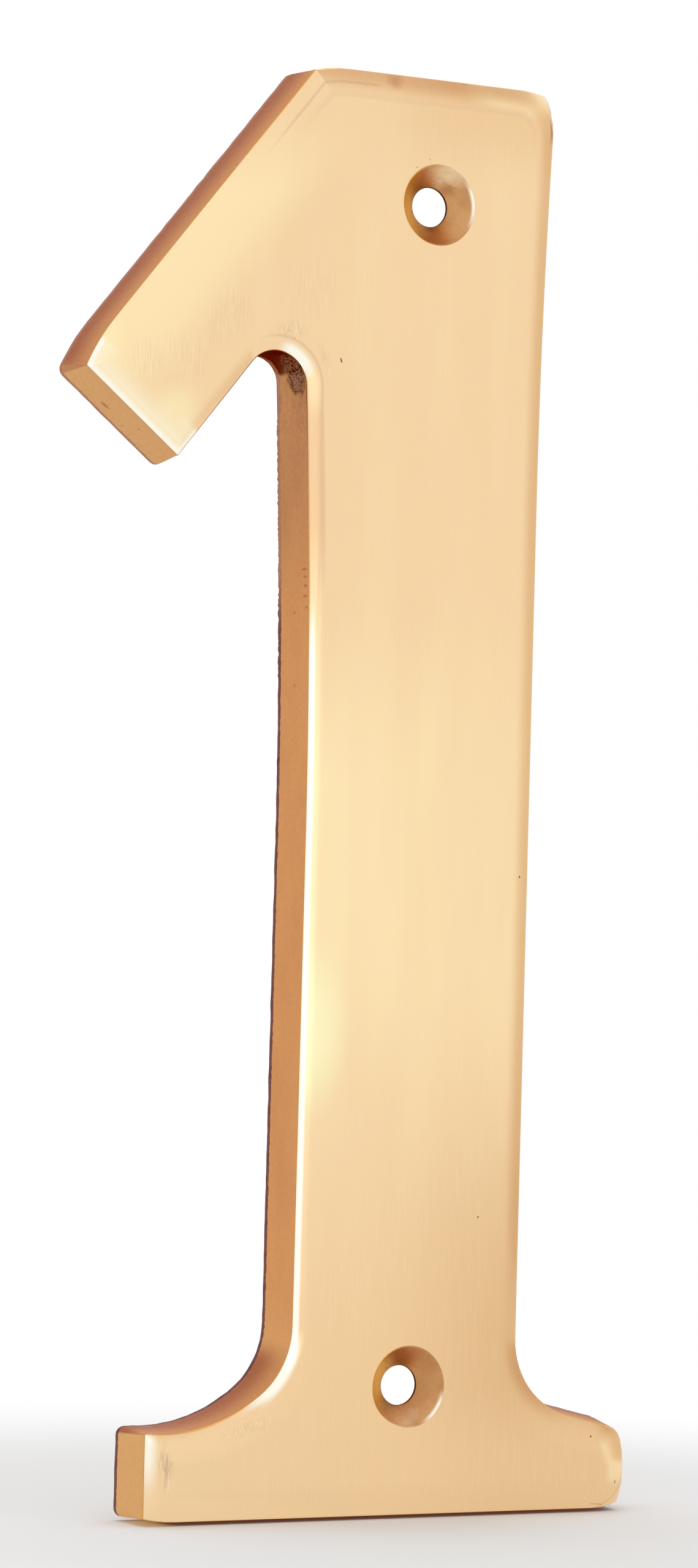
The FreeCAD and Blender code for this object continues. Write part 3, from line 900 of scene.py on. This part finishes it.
def sinkFinish():
    # the screw holes: turned, with fine rings round the drill's axis, darker in uneven patches, with painted
    # reflections and highlights on the cone and rim and painted shade in the bore
    s = sink
    finish = newFinish("turnedSink")
    spot = millimetres(finish)
    x, y, z = putNode(finish, "ShaderNodeSeparateXYZ", {0: spot}).outputs
    height = sums(finish, 'SUBTRACT', sums(finish, 'ABSOLUTE', z), casting["holeHeight"])
    radius = sums(finish, 'SQRT', sums(finish, 'ADD', sums(finish, 'MULTIPLY', x, x),
                                       sums(finish, 'MULTIPLY', height, height)))
    stir = noise(finish, spot, 0.25, 2)
    turns = sums(finish, 'SINE', sums(finish, 'ADD', sums(finish, 'MULTIPLY', radius, 2 * math.pi / s["markPitch"]),
                                      sums(finish, 'MULTIPLY', stir, 8.0)))
    grain = noise(finish, spot, 3.0, 5, 0.6)
    soft = stirred(finish, spot, 0.7, 1.2)
    up = casting["holeHeight"]
    colour = blend(finish, spread(finish, stir, 0.35, 0.7), s["copper"], s["darkCopper"])
    # painted reflection: orange on the left of each hole
    colour = blend(finish, spread(finish, x, -1.6, -3.2, 0, 0.9), colour, s["orangeSheen"])
    # painted reflections, pale, low in the cone
    sinkSheens = patches(finish, soft, [(1.2, up + 3.4, 3.6, 1.7, 0, 0.55), (-1.2, -up - 3.2, 3.4, 2.1, 0, 0.8)])
    colour = blend(finish, sinkSheens, colour, s["paleSheen"])
    colour = blend(finish, patches(finish, soft, darkPatches), colour, s["darkCopper"])
    colour = blend(finish, sums(finish, 'MULTIPLY', spread(finish, turns, -0.2, 1, 0, 0.25),
                                spread(finish, grain, 0.35, 0.65)), colour, s["darkCopper"])
    # painted highlight on the rim's right side
    rim = spread(finish, radius, 3.95, 4.2, smooth=True)
    lit = patches(finish, spot, [(4.2, up + 0.6, 2.0, 3.4, 0, 1), (3.4, -up - 2.4, 2.4, 2.4, 0, 1)])
    colour = blend(finish, sums(finish, 'MULTIPLY', rim, lit), colour, s["bright"])
    # painted shade: the bore dark
    colour = blend(finish, spread(finish, radius, casting["boreRadius"] + 0.07, casting["boreRadius"] + 0.02), colour, s["bore"])
    low, high = s["roughness"]
    roughness = spread(finish, grain, 0.3, 0.7, low, high)
    normal = bump(finish, grain, 0.006, bump(finish, turns, s["markDepth"]))
    finish.node_tree.nodes["Principled BSDF"].inputs["Specular Tint"].default_value = (*s["tint"], 1)
    return finishOff(finish, colour, roughness, normal)


def hollowFinish():
    # the back as it left the sand
    s = hollow
    finish = newFinish("castBack")
    spot = millimetres(finish)
    grain = noise(finish, spot, 1.8, 8, 0.7)
    blotches = noise(finish, spot, 0.08, 4, 0.6)
    pits = noise(finish, spot, 0.5, 3, 0.5)
    colour = blend(finish, spread(finish, sums(finish, 'ADD', blotches, grain), 0.75, 1.25), s["brass"], s["dark"])
    low, high = s["roughness"]
    roughness = spread(finish, blotches, 0.3, 0.7, low, high)
    normal = bump(finish, grain, s["grainDepth"], bump(finish, pits, s["grainDepth"] * 2))
    return finishOff(finish, colour, roughness, normal)


def roughen(piece, group, texture, strength, middle=1.0):
    # pushes the named points in by a cloud pattern, in millimetres
    worn = piece.modifiers.new("worn", 'DISPLACE')
    worn.texture = texture
    worn.texture_coords = 'LOCAL'
    worn.vertex_group = group
    worn.mid_level = middle
    worn.strength = strength
    bpy.context.view_layer.objects.active = piece
    bpy.ops.object.modifier_apply(modifier=worn.name)


def cloudPattern(name, size):
    pattern = bpy.data.textures.new(name, 'CLOUDS')
    pattern.noise_scale = size
    return pattern


def wearNumeral(piece, castIndexes):
    # cast skin on the sides, a rough notch and a ragged back edge
    names = ("castSkin", "notchSkin", "wallEdge", "raggedEdge")
    groups = {name: piece.vertex_groups.new(name=name) for name in names}
    notch = Vector((-18.6, 43.5))
    sidePoints = {i for face in piece.data.polygons if face.material_index in castIndexes for i in face.vertices}
    for i in sidePoints:
        point = piece.data.vertices[i].co
        depth = -point.y
        if depth > casting["wallDepth"] - 0.35 or depth < 0.01:
            continue
        groups["castSkin"].add([i], 1.0, 'REPLACE')
        near = 1 - ((Vector((point.x, point.z)) - notch).length - 4) / 3
        if near > 0:
            groups["notchSkin"].add([i], min(near, 1.0), 'REPLACE')
        if depth < 1.2:
            ragged = 12 < point.z < 48 and -22 < point.x < 0
            groups["raggedEdge" if ragged else "wallEdge"].add([i], 1 - depth / 1.2, 'REPLACE')
    roughen(piece, "castSkin", cloudPattern("skin", 1.4), 0.06)
    roughen(piece, "notchSkin", cloudPattern("notch", 1.1), 0.35)
    roughen(piece, "wallEdge", cloudPattern("wall", 1.2), 0.15)
    roughen(piece, "raggedEdge", cloudPattern("ragged", 0.28), 0.3, 0.6)


def toMetres(piece):
    bpy.ops.object.select_all(action='DESELECT')
    piece.select_set(True)
    bpy.context.view_layer.objects.active = piece
    bpy.ops.object.mode_set(mode='EDIT')
    bpy.ops.mesh.select_all(action='SELECT')
    bpy.ops.mesh.normals_make_consistent(inside=False)
    bpy.ops.transform.resize(value=(millimetre, millimetre, millimetre), center_override=(0, 0, 0))
    bpy.ops.object.mode_set(mode='OBJECT')
    bpy.ops.object.shade_smooth_by_angle(angle=math.radians(35))


def noteFacing(piece):
    # keeps on the piece which way each bit of it faces, for the painted shade and reflections of the cast skin
    facing = piece.data.attributes.new("facing", 'FLOAT_VECTOR', 'CORNER')
    for corner, normal in zip(facing.data, piece.data.corner_normals):
        corner.vector = normal.vector


sideSkins = [skinFinish("castSkin", skin["tint"]), skinFinish("archShadeSkin", skin["archShadeTint"])]
numeral = buildNumeral([satinFinish(), sideSkins[0], sinkFinish(), hollowFinish(), sideSkins[1]])
wearNumeral(numeral, (1, 4))
toMetres(numeral)
noteFacing(numeral)
numeral.vertex_groups.clear()
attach(numeral, "root")
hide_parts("numeral")
print("numeral", len(numeral.data.vertices), "points", len(numeral.data.polygons), "faces")


# Studio. Places and sizes in millimetres; the bearing is counted from straight ahead of the face, right positive
studio = {
    "floorHeight": -76.4,
    "floorSize": 3000,
    "backdropLevel": 1.0,
    "worldLevel": 0.75,
}
# softboxes: bearing, elevation, distance, width, height, brightness
softboxes = {
    "frontLeft": (-26, 0, 620, 300, 300, 0.25),
    "overhead": (180, 80, 700, 500, 300, 1.6),
}
# cards: bearing, elevation, distance, width, height, colour
cards = {
    "rightCard": (84, 0, 400, 620, 900, (0.82, 0.70, 0.60)),
    "topCard": (56, 58, 450, 620, 600, (0.80, 0.66, 0.57)),
}
cameraPlace = {
    "place": (-256.468, -463.357, -17.272),
    "turn": (91.9795, -1.5410, -28.5529),
    "lens": 113.672,
    "sensor": 36.0,
}


def around(bearing, elevation, distance):
    b, e = math.radians(bearing), math.radians(elevation)
    return Vector((math.sin(b) * math.cos(e), -math.cos(b) * math.cos(e), math.sin(e))) * distance * millimetre


def faceMiddle(thing, place):
    thing.location = place
    thing.rotation_euler = (-place).to_track_quat('-Z', 'Y').to_euler()


def addSoftbox(name, bearing, elevation, distance, width, height, level):
    bpy.ops.object.light_add(type='AREA')
    box = bpy.context.object
    box.name = name
    box.data.shape = 'RECTANGLE'
    box.data.size, box.data.size_y = width * millimetre, height * millimetre
    box.data.energy = level * math.pi * box.data.size * box.data.size_y
    box.visible_camera = False
    faceMiddle(box, around(bearing, elevation, distance))


def addCard(name, bearing, elevation, distance, width, height, colour):
    # a lit card that thins out towards its edges
    bpy.ops.object.select_all(action='DESELECT')
    bpy.ops.mesh.primitive_plane_add(size=1)
    card = bpy.context.object
    card.name = name
    bpy.ops.object.mode_set(mode='EDIT')
    bpy.ops.mesh.select_all(action='SELECT')
    bpy.ops.transform.resize(value=(width * millimetre, height * millimetre, 1), center_override=(0, 0, 0))
    bpy.ops.object.mode_set(mode='OBJECT')
    faceMiddle(card, around(bearing, elevation, distance))
    paint = bpy.data.materials.new(name)
    paint.use_nodes = True
    nodes = paint.node_tree.nodes
    nodes.remove(nodes["Principled BSDF"])
    across, up, out = putNode(paint, "ShaderNodeSeparateXYZ", {0: millimetres(paint)}).outputs
    share = 1.0
    for place, size in ((across, width), (up, height)):
        fade = spread(paint, sums(paint, 'ABSOLUTE', place), size * 0.06, size * 0.5, 1, 0, True)
        share = sums(paint, 'MULTIPLY', fade, share)
    clear = putNode(paint, "ShaderNodeBsdfTransparent", {}).outputs[0]
    lit = putNode(paint, "ShaderNodeEmission", {"Color": (*colour, 1)}).outputs[0]
    mix = putNode(paint, "ShaderNodeMixShader", {0: share, 1: clear, 2: lit})
    paint.node_tree.links.new(mix.outputs[0], nodes["Material Output"].inputs["Surface"])
    card.data.materials.append(paint)
    card.visible_camera = False
    card.visible_shadow = False
    card.visible_diffuse = False


def floorPaint():
    # white paper that keeps the shadow near the numeral and fades to the backdrop's white further off
    paint = bpy.data.materials.new("floorPaper")
    paint.use_nodes = True
    nodes, links = paint.node_tree.nodes, paint.node_tree.links
    shader = nodes["Principled BSDF"]
    shader.inputs["Base Color"].default_value = (0.96, 0.96, 0.96, 1)
    shader.inputs["Roughness"].default_value = 1.0
    shader.inputs["Specular IOR Level"].default_value = 0.0
    spot = putNode(paint, "ShaderNodeTexCoord", {}).outputs["Object"]
    far = putNode(paint, "ShaderNodeVectorMath", {0: spot}, operation='LENGTH').outputs["Value"]
    fade = spread(paint, far, 0.05, 0.13, smooth=True)
    rays = putNode(paint, "ShaderNodeLightPath", {})
    white = putNode(paint, "ShaderNodeEmission", {"Strength": studio["backdropLevel"]}).outputs[0]
    mirrored = sums(paint, 'MAXIMUM', rays.outputs["Is Glossy Ray"], rays.outputs["Is Transmission Ray"])
    share = sums(paint, 'MULTIPLY', fade, rays.outputs["Is Camera Ray"])
    share = sums(paint, 'MAXIMUM', share, sums(paint, 'MULTIPLY', mirrored, sums(paint, 'MAXIMUM', fade, 0.85)))
    mix = putNode(paint, "ShaderNodeMixShader", {0: share, 1: shader.outputs[0], 2: white})
    links.new(mix.outputs[0], nodes["Material Output"].inputs["Surface"])
    return paint


def buildStudio():
    bpy.ops.object.select_all(action='DESELECT')
    bpy.ops.mesh.primitive_plane_add(size=studio["floorSize"] * millimetre,
                                     location=(0, 0, studio["floorHeight"] * millimetre))
    floor = bpy.context.object
    floor.name = "floor"
    floor.data.materials.append(floorPaint())
    for name, setting in softboxes.items():
        addSoftbox(name, *setting)
    for name, setting in cards.items():
        addCard(name, *setting)
    world = bpy.context.scene.world or bpy.data.worlds.new("studio")
    bpy.context.scene.world = world
    world.use_nodes = True
    backdrop = world.node_tree.nodes["Background"]
    backdrop.inputs["Color"].default_value = (1, 1, 1, 1)
    rays = putNode(world, "ShaderNodeLightPath", {})
    seen = sums(world, 'MAXIMUM', rays.outputs["Is Camera Ray"], rays.outputs["Is Glossy Ray"])
    seen = sums(world, 'MAXIMUM', seen, rays.outputs["Is Transmission Ray"])
    level = spread(world, seen, 0, 1, studio["worldLevel"], studio["backdropLevel"])
    world.node_tree.links.new(level, backdrop.inputs["Strength"])
    bpy.context.scene.view_settings.view_transform = 'Standard'


def placeCamera():
    bpy.ops.object.camera_add(location=Vector(cameraPlace["place"]) * millimetre,
                              rotation=[math.radians(v) for v in cameraPlace["turn"]])
    camera = bpy.context.object
    camera.data.sensor_width = cameraPlace["sensor"]
    camera.data.lens = cameraPlace["lens"]
    camera.data.clip_start = 0.01
    bpy.context.scene.camera = camera


buildStudio()
placeCamera()
print("studio and camera set")
